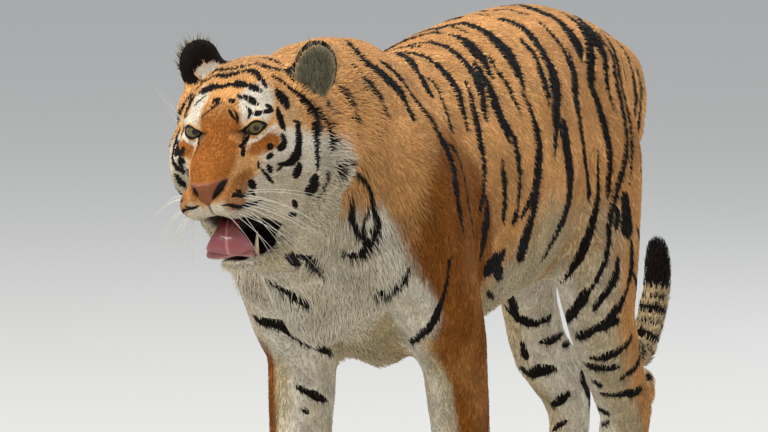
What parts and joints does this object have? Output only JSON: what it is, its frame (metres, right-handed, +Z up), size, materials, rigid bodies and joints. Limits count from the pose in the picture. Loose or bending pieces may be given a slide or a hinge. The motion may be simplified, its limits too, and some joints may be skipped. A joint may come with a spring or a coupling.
{
  "type": "tiger, life-size still model",
  "caption": "Life-size still model of a walking tiger, mouth open with the tongue out, standing on four paws with the tail tip curled up.",
  "frame": {"origin": "on the floor, under the middle of the whole bounding box", "axes": "the tiger faces -Y, its left side is +X and +Z is up"},
  "size_m": [0.3602, 1.7702, 0.9259],
  "materials": {
    "orange_coat": "short dense fur, striped black",
    "brown_coat": "short dense fur, few stripes",
    "cream_coat": "soft pale fur, striped black",
    "grey_coat": "thin fur inside the ear",
    "black_coat": "short black fur",
    "eye": "wet and glossy",
    "tooth": "satin ivory",
    "tongue": "moist"
  },
  "bodies": {
    "root": {"head": "orange_coat", "lower_jaw": "cream_coat", "ear_left": "grey_coat", "ear_right": "black_coat", "neck": "orange_coat", "chest": "orange_coat", "loin": "orange_coat", "rump": "orange_coat", "tail_root": "orange_coat", "tail_middle": "cream_coat", "tail_bend": "cream_coat", "tail_tip": "black_coat", "shoulder_left": "brown_coat", "shoulder_right": "brown_coat", "forearm_left": "brown_coat", "forearm_right": "cream_coat", "forepaw_left": "cream_coat", "forepaw_right": "cream_coat", "thigh_left": "orange_coat", "thigh_right": "orange_coat", "shank_left": "cream_coat", "shank_right": "cream_coat", "hock_left": "cream_coat", "hock_right": "cream_coat", "hindpaw_left": "cream_coat", "hindpaw_right": "cream_coat", "eye_left": "eye", "eye_right": "eye", "canine_left": "tooth", "canine_right": "tooth", "tongue": "tongue"}
  },
  "joints": []
}
